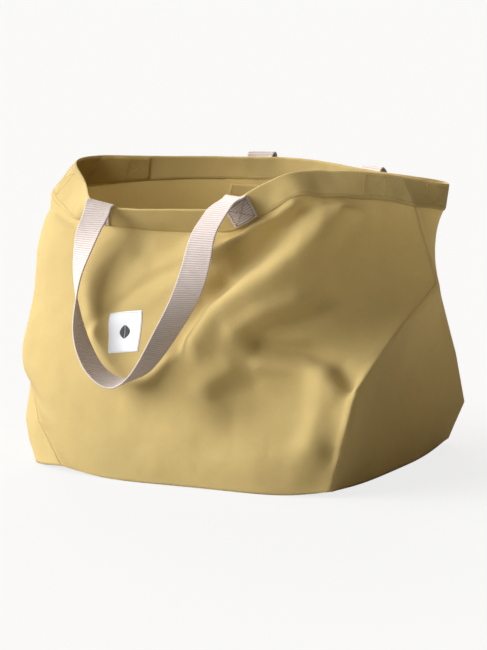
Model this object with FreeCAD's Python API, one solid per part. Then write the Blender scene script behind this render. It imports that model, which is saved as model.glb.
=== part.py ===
"""Foldable tote bag: a wide canvas bag standing open, with two webbing handles hanging outside it.

Frame: +Z up, origin on the floor under the middle of the base, the front panel faces -Y.
Every cloth piece is a thin closed solid laid along a smooth surface, and the surface is
lofted through a few level curves chosen by hand, from the mouth down to the base.
"""
import FreeCAD, Part
import math
import os

Vector = FreeCAD.Vector

# Driving dimensions, in millimetres
CANVAS = 1.0                # thickness of the panel cloth
HEM = 2.6                   # thickness of the folded hem band round the mouth
HEM_PROUD = 0.8             # how far the hem's outer face stands outside the panel
WEBBING_WIDTH = 38.0
WEBBING = 2.0
TAPE = 1.2                  # thickness of the ribbed tape inside each end of the mouth
LEFT_TAPE_REACH = 80.0      # how far the tapes run either side of their side seams
RIGHT_TAPE_REACH = 66.0
TAPE_BOX = 32.0             # width of the stitched box at each end of a tape
LABEL_WIDTH = 50.0
LABEL_HEIGHT = 53.0
LABEL = 0.6
POCKET_WIDTH = 180.0
POCKET = 0.8
THREAD_WIDTH = 1.0
THREAD = 0.6
STITCH_INSET = 4.0          # from the edge of a webbing end to its line of stitching
HEM_STITCH_LEVEL = 0.93     # place of the hem's stitching, as a share of the hem's height
STRAP_TILT = -0.22          # how far the hanging bight of a strap tips its outer edge down

# Side seams, from the mouth to the gussets' tips
LEFT_SEAM_TOP = (-210, 33, 396)
LEFT_SEAM_HEM = (-236, 37, 354)
LEFT_TIP = (-285, 30, 265)
RIGHT_SEAM_TOP = (249, 0, 387)
RIGHT_SEAM_HEM = (272, -16, 353)
RIGHT_TIP = (297, 0, 251)

# Level curves, each running anticlockwise seen from above
FRONT_RIM = [LEFT_SEAM_TOP, (-228, 0, 392), (-195, -45, 370), (-149, -114, 351), (-103, -133, 344),
             (-49, -140, 345), (10, -143, 348), (46, -147, 350), (70, -150, 358), (93, -148, 373),
             (121, -132, 390), (139, -119, 398), (160, -84, 399), (181, -58, 397), (204, -36, 395),
             (231, -13, 391), RIGHT_SEAM_TOP]
FRONT_HEM = [LEFT_SEAM_HEM, (-262, -2, 350), (-226, -50, 334), (-180, -88, 322), (-110, -112, 318),
             (-50, -118, 316), (10, -120, 317), (46, -126, 320), (84, -140, 329), (108, -142, 343),
             (135, -142, 360), (157, -133, 373), (175, -115, 371), (195, -92, 369), (214, -70, 366),
             (243, -40, 362), RIGHT_SEAM_HEM]
BACK_RIM = [RIGHT_SEAM_TOP, (272, 22, 381), (294, 48, 375), (287, 58, 376), (252, 51, 382),
            (190, 50, 388), (113, 78, 394), (47, 94, 397), (-13, 96, 396), (-83, 84, 395),
            (-146, 62, 395), LEFT_SEAM_TOP]
BACK_HEM = [RIGHT_SEAM_HEM, (284, 16, 349), (290, 44, 344), (284, 54, 345), (250, 48, 351),
            (189, 55, 359), (112, 84, 365), (47, 101, 368), (-14, 103, 367), (-86, 91, 366),
            (-152, 68, 363), LEFT_SEAM_HEM]
FRONT_LEVELS = [
    FRONT_HEM,
    [LEFT_TIP, (-253, -70, 274), (-165, -122, 278), (-50, -146, 280), (50, -160, 283),
     (115, -164, 286), (172, -156, 286), (215, -108, 280), (260, -48, 268), RIGHT_TIP],
    [(-272, -35, 195), (-250, -95, 200), (-180, -150, 200), (-60, -182, 200), (40, -200, 203),
     (98, -202, 204), (150, -178, 204), (215, -132, 202), (277, -80, 200)],
    [(-262, -90, 125), (-236, -142, 125), (-160, -184, 125), (-50, -207, 128), (50, -218, 130),
     (110, -200, 130), (185, -182, 131), (260, -182, 135)],
    [(-195, -178, 62), (-110, -207, 58), (0, -224, 55), (100, -230, 55), (190, -224, 58),
     (250, -204, 66)],
    [(-150, -201, 9), (-90, -214, 2), (0, -224, 0.7), (100, -227, 0.7), (190, -221, 2), (236, -210, 8)],
]
RIGHT_LEVELS = [
    [(297, -2, 251), (297, 4, 251)],
    [(277, -80, 200), (281, -30, 204), (281, 20, 206), (284, 64, 206)],
    [(260, -182, 135), (262, -90, 142), (262, 0, 144), (268, 80, 142), (273, 138, 138)],
    [(250, -204, 66), (250, -100, 74), (252, 10, 76), (262, 110, 72), (270, 182, 64)],
    [(236, -210, 8), (239, -110, 1.4), (245, 0, 0.7), (243, 110, 1.4), (238, 208, 8)],
]
BACK_LEVELS = [
    BACK_HEM,
    [RIGHT_TIP, (276, 42, 266), (215, 70, 274), (120, 106, 280), (0, 124, 282), (-120, 112, 282),
     (-225, 70, 274), LEFT_TIP],
    [(284, 64, 206), (240, 124, 204), (140, 164, 204), (0, 178, 204), (-130, 166, 202),
     (-225, 124, 200), (-270, 72, 198)],
    [(273, 138, 138), (235, 174, 134), (130, 200, 132), (0, 206, 132), (-120, 196, 130),
     (-210, 166, 128), (-260, 122, 126)],
    [(270, 182, 64), (220, 205, 60), (110, 217, 58), (0, 220, 58), (-110, 213, 58),
     (-195, 194, 60), (-246, 158, 64)],
    [(238, 208, 8), (190, 214, 2), (100, 217, 0.7), (0, 218, 0.7), (-100, 212, 1.4), (-190, 192, 8)],
]
LEFT_LEVELS = [
    [(-285, 33, 265), (-285, 27, 265)],
    [(-270, 72, 198), (-276, 40, 196), (-277, 5, 195), (-272, -35, 195)],
    [(-260, 122, 126), (-266, 60, 122), (-267, -20, 122), (-262, -90, 125)],
    [(-246, 158, 64), (-258, 80, 60), (-260, -20, 60), (-246, -120, 60), (-195, -178, 62)],
    [(-190, 192, 8), (-236, 120, 1.4), (-248, 10, 0.7), (-236, -100, 0.7), (-205, -165, 2.4),
     (-150, -201, 9)],
]

# Routes of the hanging handles: (place, bearing of the webbing's width in degrees)
FRONT_ROUTE = [
    ((-122, -150, 340), 3), ((-129, -157, 319), -6), ((-137, -161, 292), -24),
    ((-141, -169, 261), -46), ((-135, -185, 228), -64), ((-123, -203, 195), -84),
    ((-103, -219, 162), -97), ((-78, -230, 139), -100), ((-50, -234, 130), -100),
    ((-25, -235, 140), -106), ((-3, -232, 166), -118), ((15, -221, 201), -135),
    ((30, -211, 233), -150), ((40, -202, 265), -165), ((45, -193, 296), -178),
    ((51, -188, 324), -190), ((60, -183, 342), -196),
    ((69, -176, 355), -203)]
BACK_ROUTE = [
    ((182, 74, 384), 159), ((186, 92, 358), 156), ((190, 112, 326), 148), ((191, 134, 290), 134),
    ((188, 158, 254), 118), ((180, 182, 222), 104), ((164, 204, 194), 96), ((140, 220, 173), 92),
    ((110, 227, 162), 90), ((78, 228, 162), 88), ((50, 224, 174), 84), ((28, 212, 196), 76),
    ((13, 196, 226), 64), ((4, 178, 262), 50), ((0, 158, 300), 34), ((0, 136, 338), 20),
    ((1, 122, 366), 8), ((1, 114, 388), 2)]


def smooth_points(points, count):
    """count points, evenly spaced along the smooth curve through the given points."""
    curve = Part.BSplineCurve()
    curve.interpolate([Vector(*point) for point in points])
    return curve.toShape().discretize(Number=count)


def cloth_surface(levels, columns, rows):
    """The smooth surface through the level curves: u runs along a level, v runs down."""
    across = [smooth_points(level, columns) for level in levels]
    down = [smooth_points([row[i] for row in across], rows) for i in range(columns)]
    surface = Part.BSplineSurface()
    surface.interpolate(down)
    surface.scaleKnotsToBounds(0, 1, 0, 1)
    return surface


def outward(surface, u, v):
    """The surface's unit normal, pointing out of the bag."""
    along, down = surface.tangent(min(max(u, 0.001), 0.999), min(max(v, 0.001), 0.999))
    return down.cross(along).normalize()


def patch(surface, u_range, v_range, columns, rows, offset):
    """A grid of points on part of a surface, moved outward by offset."""
    grid = []
    for row in range(rows):
        v = v_range[0] + (v_range[1] - v_range[0]) * row / (rows - 1)
        line = []
        for column in range(columns):
            u = u_range[0] + (u_range[1] - u_range[0]) * column / (columns - 1)
            line.append(surface.value(u, v) + outward(surface, u, v) * offset)
        grid.append(line)
    return grid


def grid_normal(grid, row, column):
    """The outward unit normal of a grid of points, seen from outside as rows going down."""
    above, below = grid[max(row - 1, 0)][column], grid[min(row + 1, len(grid) - 1)][column]
    line = grid[row]
    before, after = line[max(column - 1, 0)], line[min(column + 1, len(line) - 1)]
    return (below - above).cross(after - before).normalize()


def sheet_solid(grid, thickness):
    """A closed solid whose outer face is the grid, with its inner face a thickness behind."""
    rows, columns = len(grid), len(grid[0])
    outer = [point for line in grid for point in line]
    inner = [grid[r][c] - grid_normal(grid, r, c) * thickness
             for r in range(rows) for c in range(columns)]
    behind = rows * columns
    facets = []
    for r in range(rows - 1):
        for c in range(columns - 1):
            a, b = r * columns + c, r * columns + c + 1
            d, e = a + columns, b + columns
            facets += [(a, d, b), (b, d, e)]
            facets += [(a + behind, b + behind, d + behind), (b + behind, e + behind, d + behind)]
    border = [c for c in range(columns)]
    border += [r * columns + columns - 1 for r in range(1, rows)]
    border += [(rows - 1) * columns + c for c in range(columns - 2, -1, -1)]
    border += [r * columns for r in range(rows - 2, 0, -1)]
    for here, there in zip(border, border[1:] + border[:1]):
        facets += [(here, there, there + behind), (here, there + behind, here + behind)]
    shell = Part.Shape()
    shell.makeShapeFromMesh((outer + inner, facets), 0.001)
    solid = Part.makeSolid(Part.Shell(shell.Faces))
    if solid.Volume < 0:
        solid.reverse()
    return solid


def place_on(surface, x, y, z):
    """The (u, v) of the surface's point nearest to a place."""
    return surface.parameter(Vector(x, y, z))


def share_of_width(surface, length, v=0.5):
    """The part of u that a length along the surface's level takes."""
    points = [surface.value(step / 40, v) for step in range(41)]
    return length / sum((b - a).Length for a, b in zip(points, points[1:]))


def thread(surface, start, end, offset, steps):
    """A line of stitching on a surface, from one (u, v) to another, as a narrow flat solid."""
    points = []
    sides = []
    for step in range(steps + 1):
        u = start[0] + (end[0] - start[0]) * step / steps
        v = start[1] + (end[1] - start[1]) * step / steps
        points.append(surface.value(u, v) + outward(surface, u, v) * offset)
        sides.append(outward(surface, u, v))
    upper, lower = [], []
    for step, point in enumerate(points):
        run = points[min(step + 1, steps)] - points[max(step - 1, 0)]
        side = run.cross(sides[step]).normalize() * (THREAD_WIDTH / 2)
        upper.append(point + side)
        lower.append(point - side)
    return sheet_solid([lower, upper], THREAD)


def box_and_cross(surface, u_range, v_range, offset):
    """Stitching round a box and along its diagonals."""
    (left, right), (top, bottom) = u_range, v_range
    corners = [(left, top), (right, top), (right, bottom), (left, bottom)]
    lines = list(zip(corners, corners[1:] + corners[:1])) + [(corners[0], corners[2]),
                                                             (corners[1], corners[3])]
    return [thread(surface, start, end, offset, 6) for start, end in lines]


def strap_solid(route):
    """Webbing along a route, turned at each station to its stated bearing."""
    places = [Vector(*place) for place, bearing in route]
    curve = Part.BSplineCurve()
    curve.interpolate(places)
    stations = 3 * (len(route) - 1) + 1
    near, far = [], []
    for station in range(stations):
        share = station / 3
        index = min(int(share), len(route) - 2)
        between = share - index
        start, end = (curve.parameter(places[index]), curve.parameter(places[index + 1]))
        parameter = start + (end - start) * between
        bearing = math.radians(route[index][1] * (1 - between) + route[index + 1][1] * between)
        along = curve.tangent(parameter)[0]
        lean = STRAP_TILT * (1 - abs(along.z))
        width = Vector(math.cos(bearing), math.sin(bearing), lean)
        width = (width - along * width.dot(along)).normalize() * (WEBBING_WIDTH / 2)
        middle = curve.value(parameter)
        near.append(middle + width)
        far.append(middle - width)
    grid = [near, far]
    normals = [grid_normal(grid, 0, c) * (WEBBING / 2) for c in range(stations)]
    centred = [[point + normal for point, normal in zip(line, normals)] for line in grid]
    return sheet_solid(centred, WEBBING)


def end_tape(before, after, length):
    """Tape inside the hem across a side seam, which is the end of one band and the start of
    the next."""
    inside = HEM_PROUD - HEM
    reach_before = share_of_width(before, length)
    reach_after = share_of_width(after, length)
    first = patch(before, (1 - reach_before, 1), (0.04, 0.96), 9, 3, inside)
    second = patch(after, (0.001, reach_after), (0.04, 0.96), 9, 3, inside)
    grid = [a[:-1] + [(a[-1] + b[0]) * 0.5] + b[1:] for a, b in zip(first, second)]
    return sheet_solid(grid, TAPE)


def webbing_end(band, near, handle, side):
    """A handle's sewn end on the hem, and its box-and-cross stitching."""
    middle = place_on(band, *near)[0]
    half = share_of_width(band, WEBBING_WIDTH / 2)
    inset = share_of_width(band, STITCH_INSET)
    face = HEM_PROUD + WEBBING
    cloth = patch(band, (middle - half, middle + half), (0.02, 0.95), 6, 4, face)
    save(f"{handle}_{side}_end", sheet_solid(cloth, WEBBING))
    return box_and_cross(band, (middle - half + inset, middle + half - inset), (0.14, 0.86),
                         face + THREAD / 2)


def save(node, *solids):
    """Write one sub-part, which is one solid or a group of separate solids."""
    shape = solids[0] if len(solids) == 1 else Part.makeCompound(list(solids))
    shape.exportStep(f"parts/{node}.step")
    print(node, "valid" if shape.isValid() else "NOT VALID", round(shape.Volume, 1))


os.makedirs("parts", exist_ok=True)

front_band = cloth_surface([FRONT_RIM, FRONT_HEM], 43, 3)
back_band = cloth_surface([BACK_RIM, BACK_HEM], 43, 3)
front = cloth_surface(FRONT_LEVELS, 25, 13)
back = cloth_surface(BACK_LEVELS, 25, 13)
left = cloth_surface(LEFT_LEVELS, 9, 9)
right = cloth_surface(RIGHT_LEVELS, 9, 9)

# Panels and gussets
WHOLE = (0, 1)
panel_grids = {"front_panel": patch(front, WHOLE, WHOLE, 25, 12, 0),
               "right_gusset": patch(right, WHOLE, WHOLE, 9, 9, 0),
               "back_panel": patch(back, WHOLE, WHOLE, 25, 12, 0),
               "left_gusset": patch(left, WHOLE, WHOLE, 9, 9, 0)}
for node, grid in panel_grids.items():
    save(node, sheet_solid(grid, CANVAS))

# Base: its outline is the foot of the four walls
outline = []
for grid in panel_grids.values():
    outline += [Vector(point.x, point.y, 0) for point in grid[-1][:-1]]
base = Part.Face(Part.makePolygon(outline + outline[:1])).extrude(Vector(0, 0, CANVAS))
save("base_panel", base)

# Hem bands round the mouth, and their stitching
for node, band in {"front_rim_band": front_band, "back_rim_band": back_band}.items():
    save(node, sheet_solid(patch(band, WHOLE, WHOLE, 43, 3, HEM_PROUD), HEM))
hem_face = HEM_PROUD + THREAD / 2
save("rim_stitching", *[thread(band, (0.01, HEM_STITCH_LEVEL), (0.99, HEM_STITCH_LEVEL), hem_face, 42)
                        for band in (front_band, back_band)])

# Tapes inside the two ends of the mouth, with box stitching at each of their ends
save("left_end_tape", end_tape(back_band, front_band, LEFT_TAPE_REACH))
save("right_end_tape", end_tape(front_band, back_band, RIGHT_TAPE_REACH))
box_front, box_back = share_of_width(front_band, TAPE_BOX), share_of_width(back_band, TAPE_BOX)
tape_left = share_of_width(front_band, LEFT_TAPE_REACH)
tape_left_back = share_of_width(back_band, LEFT_TAPE_REACH)
tape_right = share_of_width(front_band, RIGHT_TAPE_REACH)
BOX_LEVELS = (0.1, 0.9)
save("end_tape_stitching",
     *box_and_cross(front_band, (1 - tape_right, 1 - tape_right + box_front), BOX_LEVELS, hem_face),
     *box_and_cross(front_band, (tape_left - box_front, tape_left), BOX_LEVELS, hem_face),
     *box_and_cross(back_band, (1 - tape_left_back, 1 - tape_left_back + box_back), BOX_LEVELS,
                    hem_face))

# Pocket inside the back panel, hanging from the hem
pocket_middle = place_on(back, 33, 102, 368)[0]
pocket_half = share_of_width(back, POCKET_WIDTH / 2, 0.1)
pocket_range = (pocket_middle - pocket_half, pocket_middle + pocket_half)
pocket_face = -CANVAS - 0.4
save("inner_pocket", sheet_solid(patch(back, pocket_range, (0.01, 0.36), 9, 6, pocket_face), POCKET))
pocket_foot = [(pocket_range[0] + 0.004, 0.02), (pocket_range[0] + 0.004, 0.35),
               (pocket_range[1] - 0.004, 0.35), (pocket_range[1] - 0.004, 0.02)]
save("pocket_stitching", *[thread(back, start, end, pocket_face - POCKET, 8)
                           for start, end in zip(pocket_foot, pocket_foot[1:])])

# Woven label low on the front panel
label_u, label_v = place_on(front, -61, -182, 187)
half_u = share_of_width(front, LABEL_WIDTH / 2, label_v)
half_v = LABEL_HEIGHT / 2 / 360
label_u_range = (label_u - half_u, label_u + half_u)
label_v_range = (label_v - half_v, label_v + half_v)
save("woven_label", sheet_solid(patch(front, label_u_range, label_v_range, 4, 4, LABEL), LABEL))
label_corners = [(u, v) for u, v in ((label_u_range[0], label_v_range[0]),
                                     (label_u_range[1], label_v_range[0]),
                                     (label_u_range[1], label_v_range[1]),
                                     (label_u_range[0], label_v_range[1]))]
save("label_stitching", *[thread(front, start, end, LABEL + THREAD / 2, 2)
                          for start, end in zip(label_corners, label_corners[1:] + label_corners[:1])])

# Handles: sewn ends on the hem, and the free straps that hang from them
front_threads = webbing_end(front_band, (-125, -124, 347), "front_handle", "left")
front_threads += webbing_end(front_band, (76, -150, 362), "front_handle", "right")
save("front_handle_stitching", *front_threads)
back_threads = webbing_end(back_band, (178, 53, 389), "back_handle", "right")
back_threads += webbing_end(back_band, (1, 96, 396), "back_handle", "left")
save("back_handle_stitching", *back_threads)
save("front_handle_strap", strap_solid(FRONT_ROUTE))
save("back_handle_strap", strap_solid(BACK_ROUTE))
for name, route in {"front": FRONT_ROUTE, "back": BACK_ROUTE}.items():
    print(name, "strap length", round(sum((Vector(*b[0]) - Vector(*a[0])).Length
                                          for a, b in zip(route, route[1:]))))
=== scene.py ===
"""Foldable tote bag: canvas panels, a folded hem, webbing handles and their stitching.

Everything is in metres in the CAD model's frame: the bag stands on z = 0 with its front
panel towards -Y. Tables of places are in millimetres and are scaled by MM as they are read.
"""
import math

import bpy
import numpy as np
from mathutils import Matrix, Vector


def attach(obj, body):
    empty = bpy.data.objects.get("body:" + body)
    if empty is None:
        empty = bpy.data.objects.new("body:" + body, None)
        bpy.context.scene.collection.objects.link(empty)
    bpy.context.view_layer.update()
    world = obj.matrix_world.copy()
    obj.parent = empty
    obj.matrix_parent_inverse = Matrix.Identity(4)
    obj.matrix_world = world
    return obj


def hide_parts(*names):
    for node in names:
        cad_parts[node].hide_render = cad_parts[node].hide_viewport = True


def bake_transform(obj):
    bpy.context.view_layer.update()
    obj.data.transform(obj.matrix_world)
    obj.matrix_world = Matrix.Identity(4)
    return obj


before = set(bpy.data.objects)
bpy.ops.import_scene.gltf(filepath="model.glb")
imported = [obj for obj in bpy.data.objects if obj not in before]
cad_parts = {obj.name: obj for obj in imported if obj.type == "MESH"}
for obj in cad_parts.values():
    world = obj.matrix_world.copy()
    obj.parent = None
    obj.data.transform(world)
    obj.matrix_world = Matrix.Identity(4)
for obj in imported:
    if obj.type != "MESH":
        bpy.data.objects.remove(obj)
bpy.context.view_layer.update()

MM = 0.001
CANVAS = 0.9 * MM            # thickness of the panel cloth
HEM = 2.4 * MM               # thickness of the folded hem
HEM_PROUD = 0.9 * MM         # how far the hem's face stands outside the panel
HEM_STITCH_LEVEL = 0.9       # place of the hem's stitching, as a share of its height
POCKET = 0.8 * MM
POCKET_PLACE, POCKET_HALF_WIDTH, POCKET_HALF_HEIGHT = (33, 122, 300), 90 * MM, 62 * MM
LABEL = 0.6 * MM
LABEL_PLACE, LABEL_RIGHT = (-61, -182, 187), (0.98, -0.14, 0.14)
LABEL_HALF_WIDTH, LABEL_HALF_HEIGHT = 25 * MM, 26.5 * MM
WEBBING = 2.0 * MM
WEBBING_WIDTH = 38 * MM
RIB_PITCH = 3.0 * MM
RIB_HEIGHT = 0.22 * MM
LEFT_TAPE_REACH = 80 * MM    # the end tapes run this far either side of their side seams
RIGHT_TAPE_REACH = 66 * MM
TAPE_BOX = 32 * MM           # width of the stitched box at each end of a tape
TAPE_BOX_LEVELS = (0.12, 0.86)
TAPE = 1.0 * MM
STITCH_PITCH = 3.6 * MM
STITCH_LENGTH = 2.7 * MM
STITCH_RADIUS = 0.5 * MM
GRID_STEP = 3.2 * MM         # spacing of the cloth meshes

# ---------------------------------------------------------------- camera and light
CAMERA_TARGET = Vector((0.0106, 0.022, 0.1756))
CAMERA_AZIMUTH, CAMERA_ELEVATION = math.radians(24.5), math.radians(8.3)
CAMERA_DISTANCE = 4.0
CAMERA_LENS = 164.1
KEY_DIRECTIONS = ((-0.66, -0.60, 0.42), (-0.92, -0.20, 0.38))
KEY = 3.5
KEY_COLOUR = (1.0, 0.99, 0.97)
SUN_SPREAD = 45              # degrees across each soft light
FILL = 0.27
FILL_COLOUR = (1.0, 0.88, 0.68, 1)
BACK_DIRECTION = (-0.5, 0.80, 0.36)
BACK_LIGHT = 2.4
BACK_COLOUR = (1.0, 0.93, 0.80)
BACK_SPREAD = 40
BACKDROP = 0.90
FLOOR_GLOW = 0.80
TAUT_REACH = 0.12            # share of a wall's width, at each side seam, where it is drawn straight
LEVEL_KNOTS = np.array((0, 82, 165, 245, 312, 370)) * MM   # lengths down the walls at the levels


def aim(obj, place, target):
    """Put a camera or light at a place, looking at a target."""
    obj.location = place
    obj.rotation_euler = (Vector(target) - Vector(place)).to_track_quat("-Z", "Y").to_euler()
    bpy.context.scene.collection.objects.link(obj)


def add_camera():
    data = bpy.data.cameras.new("camera")
    data.lens = CAMERA_LENS
    data.clip_start, data.clip_end = 0.1, 50
    camera = bpy.data.objects.new("camera", data)
    back = Vector((math.sin(CAMERA_AZIMUTH) * math.cos(CAMERA_ELEVATION),
                   -math.cos(CAMERA_AZIMUTH) * math.cos(CAMERA_ELEVATION),
                   math.sin(CAMERA_ELEVATION)))
    aim(camera, CAMERA_TARGET + back * CAMERA_DISTANCE, CAMERA_TARGET)
    bpy.context.scene.camera = camera


def add_sun(name, direction, softness, strength, colour=(1, 1, 1)):
    """A far, soft light that shines from a direction, with its spread in degrees."""
    data = bpy.data.lights.new(name, "SUN")
    data.angle, data.energy, data.color = math.radians(softness), strength, colour
    aim(bpy.data.objects.new(name, data), CAMERA_TARGET + Vector(direction) * 5, CAMERA_TARGET)


def seen_and_lighting(nodes, seen, lighting):
    """A shader that looks one way itself and lights the object as another."""
    path = nodes.new("ShaderNodeLightPath")
    mix = nodes.new("ShaderNodeMixShader")
    links = mix.id_data.links
    links.new(path.outputs["Is Camera Ray"], mix.inputs[0])
    links.new(lighting, mix.inputs[1])
    links.new(seen, mix.inputs[2])
    return mix.outputs["Shader"]


def add_studio():
    """A pale backdrop and floor, a soft key light in two halves, a back light and a little fill."""
    scene = bpy.context.scene
    scene.view_settings.view_transform = "Standard"
    world = bpy.data.worlds.new("studio")
    world.use_nodes = True
    nodes, links = world.node_tree.nodes, world.node_tree.links
    fill = nodes["Background"]
    fill.inputs["Color"].default_value = FILL_COLOUR
    fill.inputs["Strength"].default_value = FILL
    backdrop = nodes.new("ShaderNodeBackground")
    backdrop.inputs["Color"].default_value = (1, 1, 1, 1)
    backdrop.inputs["Strength"].default_value = BACKDROP
    look = seen_and_lighting(nodes, backdrop.outputs["Background"], fill.outputs["Background"])
    links.new(look, nodes["World Output"].inputs["Surface"])
    scene.world = world
    for number, direction in enumerate(KEY_DIRECTIONS, 1):
        add_sun(f"key_{number}", direction, SUN_SPREAD, KEY, KEY_COLOUR)
    add_sun("back_light", BACK_DIRECTION, BACK_SPREAD, BACK_LIGHT, BACK_COLOUR)

    mesh = bpy.data.meshes.new("floor")
    mesh.from_pydata([(-40, -40, 0), (40, -40, 0), (40, 40, 0), (-40, 40, 0)], [], [(0, 1, 2, 3)])
    floor = bpy.data.objects.new("floor", mesh)
    material, shader = new_material("floor", (0.11, 0.11, 0.11), 1.0)
    shader.inputs["Specular IOR Level"].default_value = 0
    shader.inputs["Emission Color"].default_value = (1, 1, 1, 1)
    shader.inputs["Emission Strength"].default_value = FLOOR_GLOW
    tree = material.node_tree
    bounce = tree.nodes.new("ShaderNodeBsdfDiffuse")
    bounce.inputs["Color"].default_value = (0.45, 0.45, 0.45, 1)
    look = seen_and_lighting(tree.nodes, shader.outputs["BSDF"], bounce.outputs["BSDF"])
    tree.links.new(look, tree.nodes["Material Output"].inputs["Surface"])
    mesh.materials.append(material)
    scene.collection.objects.link(floor)


# ---------------------------------------------------------------- materials
def new_material(name, colour, roughness):
    material = bpy.data.materials.new(name)
    material.use_nodes = True
    shader = material.node_tree.nodes["Principled BSDF"]
    shader.inputs["Base Color"].default_value = (*colour, 1)
    shader.inputs["Roughness"].default_value = roughness
    shader.inputs["Specular IOR Level"].default_value = 0.25
    return material, shader


class Nodes:
    """Short calls for the texture nodes that the materials share."""

    def __init__(self, material):
        self.tree = material.node_tree
        self.uv = self.tree.nodes.new("ShaderNodeUVMap")
        self.uv.uv_map = "flat"

    def add(self, kind, inputs=(), **settings):
        node = self.tree.nodes.new(kind)
        for name, value in settings.items():
            setattr(node, name, value)
        for name, value in dict(inputs).items():
            if isinstance(value, bpy.types.NodeSocket):
                self.tree.links.new(value, node.inputs[name])
            else:
                node.inputs[name].default_value = value
        return node

    def wave(self, direction, pitch, distortion=0.0):
        """Stripes across the flat cloth, one every pitch metres."""
        node = self.add("ShaderNodeTexWave",
                        {"Vector": self.uv.outputs["UV"], "Scale": math.pi / (10 * pitch),
                         "Distortion": distortion, "Detail": 1.0, "Detail Scale": 1.5},
                        wave_type="BANDS", bands_direction=direction)
        return node.outputs["Fac"]

    def noise(self, size, detail=2.0, stretch=(1, 1, 1), space="UV"):
        """Noise whose features are about size metres across."""
        source = self.uv.outputs["UV"]
        if space == "Object":
            source = self.add("ShaderNodeTexCoord").outputs["Object"]
        scaled = self.add("ShaderNodeMapping", {"Vector": source, "Scale": stretch})
        node = self.add("ShaderNodeTexNoise",
                        {"Vector": scaled.outputs["Vector"], "Scale": 1 / size, "Detail": detail,
                         "Roughness": 0.55})
        return node.outputs["Fac"]

    def math(self, operation, first, second):
        node = self.add("ShaderNodeMath", operation=operation)
        for index, value in enumerate((first, second)):
            if isinstance(value, bpy.types.NodeSocket):
                self.tree.links.new(value, node.inputs[index])
            else:
                node.inputs[index].default_value = value
        return node.outputs["Value"]

    def ramp(self, factor, dark, light, low=0.0, high=1.0):
        """A colour between dark and light as factor goes from low to high."""
        node = self.add("ShaderNodeValToRGB", {"Fac": factor})
        node.color_ramp.elements[0].color = (*dark, 1)
        node.color_ramp.elements[0].position = low
        node.color_ramp.elements[1].color = (*light, 1)
        node.color_ramp.elements[1].position = high
        return node.outputs["Color"]

    def multiply(self, first, second):
        node = self.add("ShaderNodeMix", data_type="RGBA", blend_type="MULTIPLY")
        node.inputs["Factor"].default_value = 1.0
        self.tree.links.new(first, node.inputs[6])
        self.tree.links.new(second, node.inputs[7])
        return node.outputs[2]

    def bump(self, height, distance, strength, normal=None):
        inputs = {"Height": height, "Distance": distance, "Strength": strength}
        if normal is not None:
            inputs["Normal"] = normal
        return self.add("ShaderNodeBump", inputs).outputs["Normal"]


THINNING = 0.55      # light that passes through cloth is coloured less than light it reflects


def canvas_material(name, colour, glow=0.10):
    """Plain-woven canvas: crossing threads, slubs, faint mottling and a little light through it."""
    material, shader = new_material(name, colour, 0.82)
    shader.inputs["Sheen Weight"].default_value = 0.12
    shader.inputs["Sheen Roughness"].default_value = 0.5
    nodes = Nodes(material)
    warp, weft = nodes.wave("X", 0.75 * MM, 0.3), nodes.wave("Y", 0.75 * MM, 0.3)
    weave = nodes.math("ADD", nodes.math("MULTIPLY", warp, 0.5), nodes.math("MULTIPLY", weft, 0.5))
    slub = nodes.noise(2.2 * MM, 2.0, (1, 0.35, 1))
    cloud = nodes.noise(90 * MM, 3.0, space="Object")
    dark = tuple(c * 0.90 for c in colour)
    threads = nodes.ramp(weave, (0.90, 0.89, 0.86), (1.0, 1.0, 1.0), 0.1, 0.8)
    mottled = nodes.ramp(cloud, dark, colour, 0.34, 0.62)
    slubbed = nodes.ramp(slub, (0.95, 0.945, 0.93), (1, 1, 1), 0.35, 0.65)
    tint = nodes.multiply(nodes.multiply(mottled, threads), slubbed)
    nodes.tree.links.new(tint, shader.inputs["Base Color"])
    fine = nodes.bump(weave, 0.25 * MM, 0.55)
    coarse = nodes.bump(slub, 0.35 * MM, 0.35, fine)
    nodes.tree.links.new(coarse, shader.inputs["Normal"])
    through = nodes.add("ShaderNodeBsdfTranslucent",
                        {"Color": (*(c ** THINNING for c in colour), 1)})
    mix = nodes.add("ShaderNodeMixShader", {"Fac": glow})
    output = nodes.tree.nodes["Material Output"]
    nodes.tree.links.new(shader.outputs["BSDF"], mix.inputs[1])
    nodes.tree.links.new(through.outputs["BSDF"], mix.inputs[2])
    nodes.tree.links.new(mix.outputs["Shader"], output.inputs["Surface"])
    return material


def webbing_material():
    """Ribbed webbing: a groove between ribs, darkened with painted shade, and fine diagonal yarns on each
    rib.
    """
    colour = (0.64, 0.57, 0.56)
    material, shader = new_material("webbing", colour, 0.72)
    shader.inputs["Sheen Weight"].default_value = 0.2
    nodes = Nodes(material)
    rib = nodes.wave("Y", RIB_PITCH)
    yarn = nodes.wave("DIAGONAL", 1.1 * MM, 0.4)
    # painted shade: the colour is darkened in the grooves between the ribs
    groove_shade = nodes.ramp(rib, (0.66, 0.63, 0.62), (1, 1, 1), 0.0, 0.55)
    speck = nodes.ramp(yarn, (0.84, 0.83, 0.82), (1.04, 1.04, 1.04), 0.1, 0.8)
    patchy = nodes.ramp(nodes.noise(12 * MM), tuple(c * 0.93 for c in colour), colour, 0.3, 0.7)
    tint = nodes.multiply(nodes.multiply(patchy, groove_shade), speck)
    nodes.tree.links.new(tint, shader.inputs["Base Color"])
    relief = nodes.bump(yarn, 0.3 * MM, 0.5, nodes.bump(rib, 0.4 * MM, 0.6))
    nodes.tree.links.new(relief, shader.inputs["Normal"])
    return material


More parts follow.
